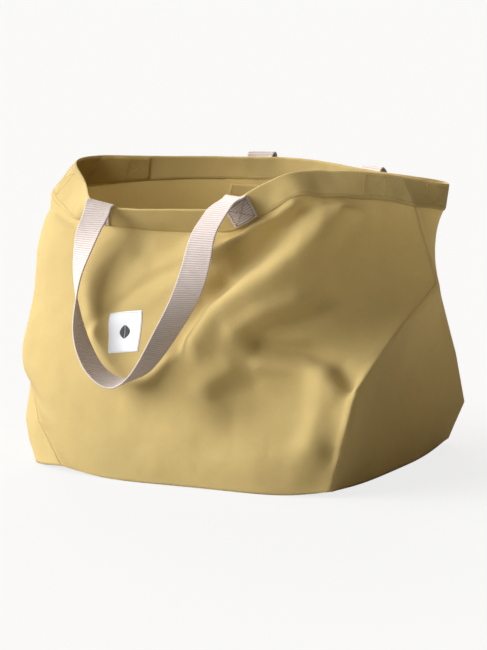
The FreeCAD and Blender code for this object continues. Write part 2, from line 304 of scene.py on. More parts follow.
def tape_material():
    """Golden-brown ribbed tape with fine lengthwise cords and a slight shine."""
    colour = (0.50, 0.36, 0.13)
    material, shader = new_material("end_tape", colour, 0.5)
    nodes = Nodes(material)
    cords = nodes.wave("Y", 1.5 * MM, 0.2)
    tint = nodes.multiply(nodes.ramp(cords, (0.72, 0.70, 0.66), (1, 1, 1), 0.05, 0.6),
                          nodes.ramp(nodes.noise(9 * MM), tuple(c * 0.9 for c in colour), colour))
    nodes.tree.links.new(tint, shader.inputs["Base Color"])
    nodes.tree.links.new(nodes.bump(cords, 0.4 * MM, 0.7), shader.inputs["Normal"])
    return material


def label_material(name, colour):
    """Smooth woven label with fine satin ribs."""
    material, shader = new_material(name, colour, 0.55)
    nodes = Nodes(material)
    satin = nodes.wave("Y", 0.6 * MM, 0.2)
    tint = nodes.ramp(satin, tuple(c * 0.94 for c in colour), colour, 0.1, 0.7)
    nodes.tree.links.new(tint, shader.inputs["Base Color"])
    nodes.tree.links.new(nodes.bump(satin, 0.12 * MM, 0.4), shader.inputs["Normal"])
    return material


def thread_material(name, colour):
    """Twisted sewing thread."""
    material, shader = new_material(name, colour, 0.6)
    nodes = Nodes(material)
    twist = nodes.noise(0.8 * MM, 1.0, space="Object")
    tint = nodes.ramp(twist, tuple(c * 0.8 for c in colour), colour, 0.3, 0.6)
    nodes.tree.links.new(tint, shader.inputs["Base Color"])
    nodes.tree.links.new(nodes.bump(twist, 0.2 * MM, 0.5), shader.inputs["Normal"])
    return material


# ---------------------------------------------------------------- curves and surfaces
def cubic_through(knots, values, at):
    """The natural cubic spline through values at knots, read at the places in at."""
    count, step = len(knots), np.diff(knots)
    matrix, right = np.zeros((count, count)), np.zeros((count, values.shape[1]))
    matrix[0, 0] = matrix[-1, -1] = 1
    for i in range(1, count - 1):
        matrix[i, i - 1:i + 2] = step[i - 1], 2 * (step[i - 1] + step[i]), step[i]
        right[i] = 6 * ((values[i + 1] - values[i]) / step[i]
                        - (values[i] - values[i - 1]) / step[i - 1])
    curving = np.linalg.solve(matrix, right)
    i = np.clip(np.searchsorted(knots, at, side="right") - 1, 0, count - 2)
    d, h = (at - knots[i])[:, None], step[i][:, None]
    slope = (values[i + 1] - values[i]) / h - h * (2 * curving[i] + curving[i + 1]) / 6
    return values[i] + d * slope + d ** 2 * curving[i] / 2 + d ** 3 * (curving[i + 1] - curving[i]) / (6 * h)


def lengths_along(points):
    """Distance along a run of points from its first."""
    return np.concatenate([[0], np.cumsum(np.linalg.norm(np.diff(points, axis=0), axis=1))])


def even_points(places, count):
    """count points, evenly spaced along the smooth curve through places in millimetres."""
    places = np.array(places, float) * MM
    knots = lengths_along(places)
    dense = cubic_through(knots, places, np.linspace(0, knots[-1], 1200))
    run = lengths_along(dense)
    at = np.linspace(0, run[-1], count)
    return np.stack([np.interp(at, run, dense[:, axis]) for axis in range(3)], 1)


def lofted(levels, columns, rows):
    """rows x columns points of the smooth wall through the level curves.

    Walls share LEVEL_KNOTS, so two walls that list the same seam places meet exactly, and
    near its side seams a wall runs straight from level to level. A gusset starts one level
    down, with its first level only as a guide above its tip.
    """
    across = np.array([even_points(level, columns) for level in levels])
    top = 0 if np.ptp(across[0], axis=0).max() > 2 * MM else 1
    values = across.reshape(len(levels), -1)
    down = np.linspace(LEVEL_KNOTS[top], LEVEL_KNOTS[-1], rows)
    smooth = cubic_through(LEVEL_KNOTS, values, down).reshape(rows, columns, 3)
    taut = np.stack([np.interp(down, LEVEL_KNOTS, column) for column in values.T], 1)
    taut = taut.reshape(rows, columns, 3)
    place = np.linspace(0, 1, columns)
    near = np.clip(np.minimum(place, 1 - place) / TAUT_REACH, 0, 1)[None, :, None]
    share = near * near * (3 - 2 * near)
    return smooth * share + taut * (1 - share)


def normals_of(grid):
    """Outward unit normals of a grid whose rows go down and columns run anticlockwise."""
    down, along = np.gradient(grid, axis=0), np.gradient(grid, axis=1)
    normal = np.cross(down, along)
    return normal / np.maximum(np.linalg.norm(normal, axis=2, keepdims=True), 1e-12)


def flat_coordinates(grid):
    """Each point's place on the flat cloth, in metres."""
    along = np.linalg.norm(np.diff(grid, axis=1), axis=2).mean(0)
    down = np.linalg.norm(np.diff(grid, axis=0), axis=2).mean(1)
    u = np.concatenate([[0], np.cumsum(along)])
    v = -np.concatenate([[0], np.cumsum(down)])
    return np.stack(np.meshgrid(u, v), 2)


def make_object(name, points, faces, uvs, material, smooth=True):
    """A mesh object with one UV pair per point."""
    mesh = bpy.data.meshes.new(name)
    mesh.from_pydata([tuple(p) for p in points], [], faces)
    layer = mesh.uv_layers.new(name="flat")
    corner = np.zeros(len(mesh.loops), int)
    mesh.loops.foreach_get("vertex_index", corner)
    layer.data.foreach_set("uv", np.asarray(uvs, float)[corner].ravel())
    if smooth:
        mesh.shade_smooth()
    mesh.materials.append(material)
    obj = bpy.data.objects.new(name, mesh)
    bpy.context.scene.collection.objects.link(obj)
    return obj


def sheet_object(name, grid, thickness, material, body="bag", rounded=True):
    """A closed sheet of cloth: the grid is its outer face, with a half-round edge all round."""
    rows, columns = grid.shape[:2]
    normal = normals_of(grid)
    inner = grid - normal * thickness
    flat = flat_coordinates(grid)
    index = np.arange(rows * columns).reshape(rows, columns)
    behind = rows * columns
    quads = np.stack([index[:-1, :-1], index[1:, :-1], index[1:, 1:], index[:-1, 1:]], 2).reshape(-1, 4)
    faces = [tuple(q) for q in quads] + [tuple(q[::-1] + behind) for q in quads]
    border = np.concatenate([index[0, :-1], index[:-1, -1], index[-1, :0:-1], index[:0:-1, 0]])
    points = [grid.reshape(-1, 3), inner.reshape(-1, 3)]
    uvs = [flat.reshape(-1, 2), flat.reshape(-1, 2)]
    middle = (grid - normal * thickness / 2).reshape(-1, 3)[border]
    run = np.roll(middle, -1, 0) - np.roll(middle, 1, 0)
    out = np.cross(run, normal.reshape(-1, 3)[border])
    out /= np.maximum(np.linalg.norm(out, axis=1, keepdims=True), 1e-12)
    if np.dot(out[columns // 2], (grid[0] - grid[1])[columns // 2]) < 0:
        out = -out
    points.append(middle + out * thickness * (0.45 if rounded else 0))
    uvs.append(flat.reshape(-1, 2)[border])
    edge = 2 * behind + np.arange(len(border))
    for k in range(len(border)):
        j = (k + 1) % len(border)
        faces.append((border[k], border[j], edge[j], edge[k]))
        faces.append((edge[k], edge[j], border[j] + behind, border[k] + behind))
    obj = make_object(name, np.concatenate(points), [tuple(int(i) for i in f) for f in faces],
                      np.concatenate(uvs), material)
    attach(obj, body)
    return obj


# ---------------------------------------------------------------- the shape of the bag
LEFT_SEAM_TOP = (-210, 33, 396)
LEFT_SEAM_HEM = (-236, 37, 354)
LEFT_TIP = (-285, 30, 265)
RIGHT_SEAM_TOP = (249, 0, 387)
RIGHT_SEAM_HEM = (272, -16, 353)
RIGHT_TIP = (297, 0, 251)
FRONT_RIM = [LEFT_SEAM_TOP, (-228, 0, 392), (-195, -45, 370), (-149, -114, 351), (-103, -133, 344),
             (-49, -140, 345), (10, -143, 348), (46, -147, 350), (70, -150, 358), (93, -148, 373),
             (121, -132, 390), (139, -119, 398), (160, -84, 399), (181, -58, 397), (204, -36, 395),
             (231, -13, 391), RIGHT_SEAM_TOP]
FRONT_HEM = [LEFT_SEAM_HEM, (-262, -2, 350), (-226, -50, 334), (-180, -88, 322), (-110, -112, 318),
             (-50, -118, 316), (10, -120, 317), (46, -126, 320), (84, -140, 329), (108, -142, 343),
             (135, -142, 360), (157, -133, 373), (175, -115, 371), (195, -92, 369), (214, -70, 366),
             (243, -40, 362), RIGHT_SEAM_HEM]
BACK_RIM = [RIGHT_SEAM_TOP, (272, 22, 381), (294, 48, 375), (287, 58, 376), (252, 51, 382),
            (190, 50, 388), (113, 78, 394), (47, 94, 397), (-13, 96, 396), (-83, 84, 395),
            (-146, 62, 395), LEFT_SEAM_TOP]
BACK_HEM = [RIGHT_SEAM_HEM, (284, 16, 349), (290, 44, 344), (284, 54, 345), (250, 48, 351),
            (189, 55, 359), (112, 84, 365), (47, 101, 368), (-14, 103, 367), (-86, 91, 366),
            (-152, 68, 363), LEFT_SEAM_HEM]
FRONT_LEVELS = [
    FRONT_HEM,
    [LEFT_TIP, (-253, -70, 274), (-165, -122, 278), (-50, -146, 280), (50, -160, 283),
     (115, -164, 286), (172, -156, 286), (215, -108, 280), (260, -48, 268), RIGHT_TIP],
    [(-272, -35, 195), (-250, -95, 200), (-180, -150, 200), (-60, -182, 200), (40, -200, 203),
     (98, -202, 204), (150, -178, 204), (215, -132, 202), (277, -80, 200)],
    [(-262, -90, 125), (-236, -142, 125), (-160, -184, 125), (-50, -207, 128), (50, -218, 130),
     (110, -200, 130), (185, -182, 131), (260, -182, 135)],
    [(-195, -178, 62), (-110, -207, 58), (0, -224, 55), (100, -230, 55), (190, -224, 58),
     (250, -204, 66)],
    [(-150, -201, 9), (-90, -214, 2), (0, -224, 1), (100, -227, 1), (190, -221, 2), (236, -210, 8)],
]
RIGHT_LEVELS = [
    [RIGHT_SEAM_HEM, (272, -15.9, 353)],
    [RIGHT_TIP, (297, 0.1, 251)],
    [(277, -80, 200), (281, -30, 204), (281, 20, 206), (284, 64, 206)],
    [(260, -182, 135), (262, -90, 142), (262, 0, 144), (268, 80, 142), (273, 138, 138)],
    [(250, -204, 66), (250, -100, 74), (252, 10, 76), (262, 110, 72), (270, 182, 64)],
    [(236, -210, 8), (239, -110, 1), (245, 0, 1), (243, 110, 1), (238, 208, 8)],
]
BACK_LEVELS = [
    BACK_HEM,
    [RIGHT_TIP, (276, 42, 266), (215, 70, 274), (120, 106, 280), (0, 124, 282), (-120, 112, 282),
     (-225, 70, 274), LEFT_TIP],
    [(284, 64, 206), (240, 124, 204), (140, 164, 204), (0, 178, 204), (-130, 166, 202),
     (-225, 124, 200), (-270, 72, 198)],
    [(273, 138, 138), (235, 174, 134), (130, 200, 132), (0, 206, 132), (-120, 196, 130),
     (-210, 166, 128), (-260, 122, 126)],
    [(270, 182, 64), (220, 205, 60), (110, 217, 58), (0, 220, 58), (-110, 213, 58),
     (-195, 194, 60), (-246, 158, 64)],
    [(238, 208, 8), (190, 214, 2), (100, 217, 1), (0, 218, 1), (-100, 212, 1), (-190, 192, 8)],
]
LEFT_LEVELS = [
    [LEFT_SEAM_HEM, (-236, 36.9, 354)],
    [LEFT_TIP, (-285, 29.9, 265)],
    [(-270, 72, 198), (-276, 40, 196), (-277, 5, 195), (-272, -35, 195)],
    [(-260, 122, 126), (-266, 60, 122), (-267, -20, 122), (-262, -90, 125)],
    [(-246, 158, 64), (-258, 80, 60), (-260, -20, 60), (-246, -120, 60), (-195, -178, 62)],
    [(-190, 192, 8), (-236, 120, 1), (-248, 10, 1), (-236, -100, 1), (-205, -165, 2),
     (-150, -201, 9)],
]

# Folds of the front panel: (height, width, places as x and z), all in millimetres
FRONT_FOLDS = [
    (-3.0, 7, [(-262, 326), (-236, 327), (-186, 316)]),
    (-3.0, 8, [(-127, 191), (-84, 224), (-41, 256), (5, 279)]),
    (3.0, 12, [(-110, 182), (-60, 216), (-12, 246), (30, 262)]),
    (-6.0, 16, [(-66, 292), (-46, 288), (-14, 302)]),
    (16.0, 10, [(152, 362), (134, 345), (114, 332), (94, 318), (68, 300), (40, 290)]),
    (-9.0, 11, [(88, 326), (66, 318), (40, 306)]),
    (-12.0, 15, [(162, 356), (144, 338), (122, 312), (94, 284), (68, 258), (40, 244)]),
    (15.0, 18, [(196, 350), (182, 322), (162, 295), (135, 269), (99, 246), (69, 220), (48, 186)]),
    (5.0, 15, [(100, 204), (130, 224), (168, 240)]),
    (-9.0, 16, [(128, 196), (165, 214), (205, 236)]),
    (4.0, 14, [(62, 132), (76, 142), (92, 154)]),
    (-5.0, 14, [(90, 126), (120, 136)]),
    (-8.0, 14, [(66, 258), (52, 236), (38, 208), (22, 180)]),
    (6.0, 14, [(130, 158), (185, 152), (228, 134)]),
    (-9.0, 11, [(130, 182), (185, 176), (225, 160), (250, 138)]),
    (-11.0, 30, [(110, 104), (160, 104), (215, 104)]),
    (9.0, 20, [(210, 150), (214, 112), (212, 72)]),
    (-5.0, 10, [(236, 58), (238, 52)]),
]


def fold_relief(first, second, folds):
    """Height of ridges and valleys at each point, from its two coordinates in metres."""
    relief = np.zeros(first.shape)
    for height, width, places in folds:
        places = np.array(places, float) * MM
        nearest = np.full(first.shape, np.inf)
        for start, end in zip(places, places[1:]):
            run = end - start
            share = ((first - start[0]) * run[0] + (second - start[1]) * run[1]) / (run @ run)
            share = np.clip(share, 0, 1)
            gap = np.hypot(first - start[0] - share * run[0], second - start[1] - share * run[1])
            nearest = np.minimum(nearest, gap)
        relief += height * MM * np.exp(-(nearest / (width * MM)) ** 2)
    return relief


def rumple(points, size, height, seed):
    """Gentle random unevenness of cloth, the same wherever two pieces meet."""
    rng = np.random.default_rng(seed)
    total = np.zeros(points.shape[:-1])
    for _ in range(36):
        direction = rng.normal(size=3)
        direction /= np.linalg.norm(direction)
        wavelength = size * rng.uniform(0.6, 2.2)
        total += np.cos(points @ direction * (2 * math.pi / wavelength) + rng.uniform(0, 6.28))
    return total * height / 6


def edge_fade(rows, columns, reach_rows, reach_columns):
    """0 at the edges of a grid and 1 inside it."""
    def fade(count, reach):
        place = np.arange(count)
        near = np.minimum(place, count - 1 - place) / max(reach, 1)
        return np.clip(near, 0, 1) ** 1.5
    return fade(rows, reach_rows)[:, None] * fade(columns, reach_columns)[None, :]


def seam_puff(grid, height=0.9 * MM, reach=5 * MM):
    """Cloth stands a little proud beside the seams at its left and right edges."""
    left = np.linalg.norm(grid - grid[:, :1], axis=2)
    right = np.linalg.norm(grid - grid[:, -1:], axis=2)
    near = np.minimum(left, right)
    return height * (near / reach) * np.exp(1 - near / reach)


def gathers(grid):
    """Small upright puckers under the right half of the front hem."""
    x, z = grid[:, :, 0], grid[:, :, 2]
    below = np.clip(grid[0, :, 2][None, :] - z, 0, None)
    window = np.exp(-((x - 0.19) / 0.07) ** 4)
    waves = np.cos(x * 2 * math.pi / (17 * MM) + 3 * np.sin(x * 40))
    return 1.3 * MM * waves * window * np.exp(-below / (26 * MM)) * np.clip(below / (6 * MM), 0, 1)


def panel_grid(levels, width, height, folds=None, plane=(0, 2), seed=5, extra=None):
    columns, rows = int(width / GRID_STEP), int(height / GRID_STEP)
    grid = lofted(levels, columns, rows)
    relief = rumple(grid, 55 * MM, 0.5 * MM, seed) + rumple(grid, 22 * MM, 0.18 * MM, seed + 1)
    if folds:
        relief = relief + fold_relief(grid[:, :, plane[0]], grid[:, :, plane[1]], folds)
    if extra is not None:
        relief = relief + extra(grid)
    relief = relief * edge_fade(rows, columns, 5, 4) + seam_puff(grid)
    return grid + normals_of(grid) * relief[:, :, None]


def band_grid(rim, hem, columns, rows=14, reach=1.05):
    """The hem, straight from rim to hem line and a little past it. Places of the same number
    in the two lists lie on the same line across the hem."""
    rim, hem = np.array(rim, float) * MM, np.array(hem, float) * MM
    knots = (lengths_along(rim) + lengths_along(hem)) / 2
    at = np.linspace(0, knots[-1], columns)
    top, bottom = cubic_through(knots, rim, at), cubic_through(knots, hem, at)
    share = np.linspace(0, reach, rows)[:, None, None]
    return top[None] * (1 - share) + bottom[None] * share


def finish_bands(front, back):
    """Puff the hem a little, and let its two halves meet exactly at the side seams."""
    normals = [normals_of(front), normals_of(back)]
    reach = 6
    fade = np.linspace(1, 0, reach)[None, :, None]
    for one, other in ((0, 1), (1, 0)):
        middle = normals[one][:, -1:] + normals[other][:, :1]
        middle /= np.linalg.norm(middle, axis=2, keepdims=True)
        normals[one][:, -reach:] = normals[one][:, -reach:] * fade + middle * (1 - fade)
        normals[other][:, :reach] = normals[other][:, :reach] * (1 - fade) + middle * fade
    grids = []
    for grid, normal in zip((front, back), normals):
        share = np.linspace(0, 1, grid.shape[0])[:, None]
        relief = 0.6 * MM * np.sin(share * math.pi) + rumple(grid, 30 * MM, 0.35 * MM, 11)
        grids.append(grid + normal * (relief + HEM_PROUD)[:, :, None])
    return grids


def sub_grid(grid, columns, rows, offset):
    """Part of a grid between two shares of its columns and of its rows, moved outward."""
    height, width = grid.shape[:2]
    shift = grid + normals_of(grid) * offset
    across = np.linspace(columns[0], columns[1], columns[2]) * (width - 1)
    down = np.linspace(rows[0], rows[1], rows[2]) * (height - 1)
    return read_along(shift, *np.meshgrid(across, down))


def read_along(grid, columns, rows):
    """Bilinear reading of a grid at fractional columns and rows."""
    i = np.clip(columns.astype(int), 0, grid.shape[1] - 2)
    j = np.clip(rows.astype(int), 0, grid.shape[0] - 2)
    a, b = (columns - i)[..., None], (rows - j)[..., None]
    return ((grid[j, i] * (1 - a) + grid[j, i + 1] * a) * (1 - b)
            + (grid[j + 1, i] * (1 - a) + grid[j + 1, i + 1] * a) * b)


def rectangle_on(grid, centre, right, half_width, half_height, columns, rows, offset):
    """A grid of points on part of a surface: a true rectangle about the surface's point
    nearest to centre, with its width along right."""
    gaps = np.linalg.norm(grid - np.array(centre) * MM, axis=2)
    row, column = np.unravel_index(gaps.argmin(), gaps.shape)
    shifted = grid + normals_of(grid) * offset
    reach = 4
    over = (grid[row, column + reach] - grid[row, column - reach]) / (2 * reach)
    down = (grid[row + reach, column] - grid[row - reach, column]) / (2 * reach)
    normal = normals_of(grid)[row, column]
    right = np.array(right, float) - normal * (np.array(right, float) @ normal)
    right /= np.linalg.norm(right)
    low = np.cross(right, normal)
    steps = np.linalg.inv(np.array([[over @ right, down @ right], [over @ low, down @ low]]))
    across = np.linspace(-half_width, half_width, columns)
    below = np.linspace(-half_height, half_height, rows)
    lines = []
    for b in below:
        move = steps @ np.stack([across, np.full(columns, b)])
        lines.append(read_along(shifted, column + move[0], row + move[1]))
    return np.array(lines)


def nearest_share(grid, place, row=0):
    """The share of a grid's width where a row passes nearest to a place in millimetres."""
    gaps = np.linalg.norm(grid[row] - np.array(place) * MM, axis=1)
    return int(gaps.argmin()) / (grid.shape[1] - 1)


# ---------------------------------------------------------------- stitching
def stitch_mesh(name, lines, material, pitch=STITCH_PITCH, body="bag"):
    """Separate stitches along lines, each a pair of arrays: points, and the normals there."""
    rings = ((-0.5, 0.35), (-0.38, 0.9), (0.0, 1.0), (0.38, 0.9), (0.5, 0.35))   # place, swell
    sides = 6
    points, faces, uvs = [], [], []
    for line, normals in lines:
        run = lengths_along(line)
        count = max(int(run[-1] / pitch), 1)
        for k in range(count):
            middle = (k + 0.5) * run[-1] / count
            place = np.array([np.interp(middle, run, line[:, axis]) for axis in range(3)])
            ahead = np.array([np.interp(middle + 0.5 * MM, run, line[:, axis]) for axis in range(3)])
            before = np.array([np.interp(middle - 0.5 * MM, run, line[:, axis]) for axis in range(3)])
            up = np.array([np.interp(middle, run, normals[:, axis]) for axis in range(3)])
            along = (ahead - before) / max(np.linalg.norm(ahead - before), 1e-9)
            up = up - along * (up @ along)
            up /= max(np.linalg.norm(up), 1e-9)
            side = np.cross(along, up)
            start = len(points)
            for shift, swell in rings:
                sink = 0.25 * MM * (1 - 4 * shift ** 2) - 0.1 * MM
                for s in range(sides):
                    angle = 2 * math.pi * s / sides
                    radius = STITCH_RADIUS * swell
                    points.append(place + along * shift * STITCH_LENGTH + up * sink
                                  + (side * math.cos(angle) + up * math.sin(angle) * 0.8) * radius)
                    uvs.append((shift * STITCH_LENGTH, angle * STITCH_RADIUS))
            for ring in range(len(rings) - 1):
                for s in range(sides):
                    a = start + ring * sides + s
                    b = start + ring * sides + (s + 1) % sides
                    faces.append((a, b, b + sides, a + sides))
            faces.append(tuple(start + s for s in range(sides))[::-1])
            faces.append(tuple(start + (len(rings) - 1) * sides + s for s in range(sides)))
    obj = make_object(name, points, faces, uvs, material)
    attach(obj, body)
    return obj


def line_on(grid, corners, offset=0.0, steps=60):
    """A stitch line on a grid through corners given as shares of its width and height."""
    normal = normals_of(grid)
    height, width = grid.shape[:2]
    lines = []
    for (u0, v0), (u1, v1) in zip(corners, corners[1:]):
        u = np.linspace(u0, u1, steps) * (width - 1)
        v = np.linspace(v0, v1, steps) * (height - 1)
        outward = read_along(normal, u, v)
        lines.append((read_along(grid, u, v) + outward * offset, outward * (1 if offset >= 0 else -1)))
    return lines


def box_cross(left, right, top, bottom):
    """Corner lists for a stitched box and its diagonals."""
    box = [(left, top), (right, top), (right, bottom), (left, bottom), (left, top)]
    return [box, [(left, top), (right, bottom)], [(right, top), (left, bottom)]]


# ---------------------------------------------------------------- webbing
FRONT_CRESTS = ((((-124, -131, 350), 2, -0.20), ((-123, -140, 350), 4, -0.20)),
                (((69, -176, 357), -205, 0), ((78, -168, 366), -216, 0), ((81, -159, 369), -208, 0)))
BACK_CRESTS = ((((180, 61, 392), 160, 0), ((181, 67, 391), 160, 0)),
               (((1, 107, 402), 8, 0), ((1, 102, 402), 8, 0)))
ACROSS = np.array([-1, -0.985, -0.94, -0.86, -0.6, -0.3, 0, 0.3, 0.6, 0.86, 0.94, 0.985, 1])


def ribbon(stations):
    """Evenly spaced lines across a strap, lofted through stations of len(ACROSS) places."""
    stations = np.array(stations)
    knots = lengths_along(stations[:, len(ACROSS) // 2])
    values = stations.reshape(len(stations), -1)
    dense_at = np.linspace(0, knots[-1], 3000)
    dense = cubic_through(knots, values, dense_at).reshape(-1, len(ACROSS), 3)
    run = lengths_along(dense[:, len(ACROSS) // 2])
    count = int(run[-1] / (RIB_PITCH / 4)) + 1
    at = np.interp(np.linspace(0, run[-1], count), run, dense_at)
    face = cubic_through(knots, values, at).reshape(-1, len(ACROSS), 3)
    along, over = np.gradient(face, axis=0), np.gradient(face, axis=1)
    normal = np.cross(along, over)
    normal /= np.linalg.norm(normal, axis=2, keepdims=True)
    return {"face": face, "normal": normal, "run": lengths_along(face[:, len(ACROSS) // 2])}


def strap_piece(name, strap, start, end, material, body=None, ends=(False, False)):
    """The stretch of a strap between two lengths along it, with ribs across both faces."""
    keep = (strap["run"] >= start - 1e-6) & (strap["run"] <= end + 1e-6)
    face, normal, run = strap["face"][keep], strap["normal"][keep], strap["run"][keep]
    size = np.abs(ACROSS)
    flatness = np.sqrt(np.clip(1 - np.clip((size - 0.955) / 0.045, 0, 1) ** 2, 0, 1))
    ribs = RIB_HEIGHT * np.cos(run * 2 * math.pi / RIB_PITCH)[:, None] * (size < 0.9)
    bead = 0.18 * MM * np.exp(-((size - 0.93) / 0.03) ** 2)
    half = (WEBBING / 2 + ribs + bead) * flatness + 0.05 * MM
    squeeze = np.ones(len(run))
    for at_end, near in ((ends[0], run - run[0]), (ends[1], run[-1] - run)):
        if at_end:
            squeeze = np.minimum(squeeze, np.clip(near / (1.2 * MM), 0.25, 1))
    half = (half * squeeze[:, None])[:, :, None]
    loop = np.concatenate([face + normal * half, (face - normal * half)[:, ::-1]], 1)
    stations, around = loop.shape[:2]
    u = np.concatenate([ACROSS, ACROSS[::-1]]) * WEBBING_WIDTH / 2
    uvs = np.stack(np.broadcast_arrays(u[None, :], run[:, None]), 2).reshape(-1, 2)
    faces = []
    for s in range(stations - 1):
        for a in range(around):
            b = (a + 1) % around
            faces.append((s * around + a, s * around + b, (s + 1) * around + b, (s + 1) * around + a))
    faces.append(tuple(range(around))[::-1])
    faces.append(tuple((stations - 1) * around + a for a in range(around)))
    obj = make_object(name, loop.reshape(-1, 3), faces, uvs, material)
    if body:
        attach(obj, body)
    return obj


STRAP_TILT = -0.22           # how far the hanging bight tips its outer edge down
SEWN_LEVELS = (0.9, 0.62, 0.34, 0.08)    # stations up a sewn end, as shares of the hem's height
WEBBING_SEAT = 0.62          # the middle of the webbing stands this share of its thickness out
FOLD_MARKS = (3, 8, -8, -4)  # stations where each fold starts and ends
BACK_HANDLE_PLACES = ((178, 53, 389), (1, 96, 396))      # middles of the sewn ends
FRONT_HANDLE_PLACES = ((-125, -124, 347), (76, -150, 362))
FRONT_ROUTE = [
    ((-122, -150, 340), 3), ((-129, -157, 319), -6), ((-137, -161, 292), -24),
    ((-141, -169, 261), -46), ((-135, -185, 228), -64), ((-123, -203, 195), -84),
    ((-103, -219, 162), -97), ((-78, -230, 139), -100), ((-50, -234, 130), -100),
    ((-25, -235, 140), -106), ((-3, -232, 166), -118), ((15, -221, 201), -135),
    ((30, -211, 233), -150), ((40, -202, 265), -165), ((45, -193, 296), -178),
    ((51, -188, 324), -190), ((60, -183, 342), -196)]
BACK_ROUTE = [
    ((182, 74, 384), 159), ((186, 92, 358), 156), ((190, 112, 326), 148), ((191, 134, 290), 134),
    ((188, 158, 254), 118), ((180, 182, 222), 104), ((164, 204, 194), 96), ((140, 220, 173), 92),
    ((110, 227, 162), 90), ((78, 228, 162), 88), ((50, 224, 174), 84), ((28, 212, 196), 76),
    ((13, 196, 226), 64), ((4, 178, 262), 50), ((0, 158, 300), 34), ((0, 136, 338), 20),
    ((1, 122, 366), 8), ((1, 114, 388), 2)]


def sewn_end(band, share, sign):
    """Stations up a webbing end that is sewn on a hem, from its foot to just under the rim."""
    face = band + normals_of(band) * WEBBING * WEBBING_SEAT
    height, width = band.shape[:2]
    half = WEBBING_WIDTH / 2 / band_length(band) * (width - 1)
    columns = share * (width - 1) + ACROSS * half * sign
    return [read_along(face, columns, np.full(len(columns), v * (height - 1))) for v in SEWN_LEVELS]


def hanging(place, degrees, lean):
    """A station of the free strap: its middle, and the bearing and lean of its width."""
    width = np.array([math.cos(math.radians(degrees)), math.sin(math.radians(degrees)), lean])
    width /= np.linalg.norm(width)
    return np.array(place) * MM + ACROSS[:, None] * width * WEBBING_WIDTH / 2


def handle(name, band, ends_at, crests, route, webbing, thread):
    """One handle: two sewn ends, two folds over the hem and the hanging strap. The strap
    rides the body that has the handle's name."""
    first, last = [nearest_share(band, place) for place in ends_at]
    start, finish = sewn_end(band, first, 1), sewn_end(band, last, -1)[::-1]
    places = np.array([place for place, degrees in route], float)
    along = np.gradient(places, axis=0)
    along /= np.linalg.norm(along, axis=1, keepdims=True)
    leans = STRAP_TILT * (1 - np.abs(along[:, 2]))
    free = [hanging(place, degrees, lean) for (place, degrees), lean in zip(route, leans)]
    stations = (start + [hanging(*crest) for crest in crests[0]] + free
                + [hanging(*crest) for crest in crests[1]] + finish)
    strap = ribbon(stations)
    middle, run = strap["face"][:, len(ACROSS) // 2], strap["run"]
    marks = [run[np.linalg.norm(middle - stations[k][len(ACROSS) // 2], axis=1).argmin()]
             for k in FOLD_MARKS]
    sides = ("left", "right") if name == "front_handle" else ("right", "left")
    pieces = [
        strap_piece(f"{name}_{sides[0]}_end_webbing", strap, 0, marks[0], webbing, "bag", (True, False)),
        strap_piece(f"{name}_{sides[0]}_fold", strap, marks[0], marks[1], webbing),
        strap_piece(f"{name}_strap_webbing", strap, marks[1], marks[2], webbing, name),
        strap_piece(f"{name}_{sides[1]}_fold", strap, marks[2], marks[3], webbing),
        strap_piece(f"{name}_{sides[1]}_end_webbing", strap, marks[3], run[-1], webbing, "bag",
                    (False, True))]
    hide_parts(f"{name}_{sides[0]}_end")
    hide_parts(f"{name}_strap")
    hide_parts(f"{name}_{sides[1]}_end")
    ends = [tuple(middle[np.abs(run - mark).argmin()]) for mark in marks]
    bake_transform(pieces[1])
    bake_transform(pieces[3])
    lines = (webbing_stitches(strap, 3 * MM, marks[0] - 1 * MM)
             + webbing_stitches(strap, marks[3] + 1 * MM, run[-1] - 3 * MM))
    stitching = stitch_mesh(f"{name}_threads", lines, thread)
    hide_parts(f"{name}_stitching")


def webbing_stitches(strap, low, high):
    """Box-and-cross stitch lines on a sewn end, between two lengths along the strap."""
    inset, steps = 0.78, 40
    corners = [(-inset, low), (inset, low), (inset, high), (-inset, high), (-inset, low)]
    lines = []
    for polyline in (corners, [(-inset, low), (inset, high)], [(inset, low), (-inset, high)]):
        for (a0, s0), (a1, s1) in zip(polyline, polyline[1:]):
            columns = np.interp(np.linspace(a0, a1, steps), ACROSS, np.arange(len(ACROSS)))
            rows = np.interp(np.linspace(s0, s1, steps), strap["run"], np.arange(len(strap["run"])))
            normal = -read_along(strap["normal"], columns, rows)
            lines.append((read_along(strap["face"], columns, rows) + normal * WEBBING * 0.6, normal))
    return lines


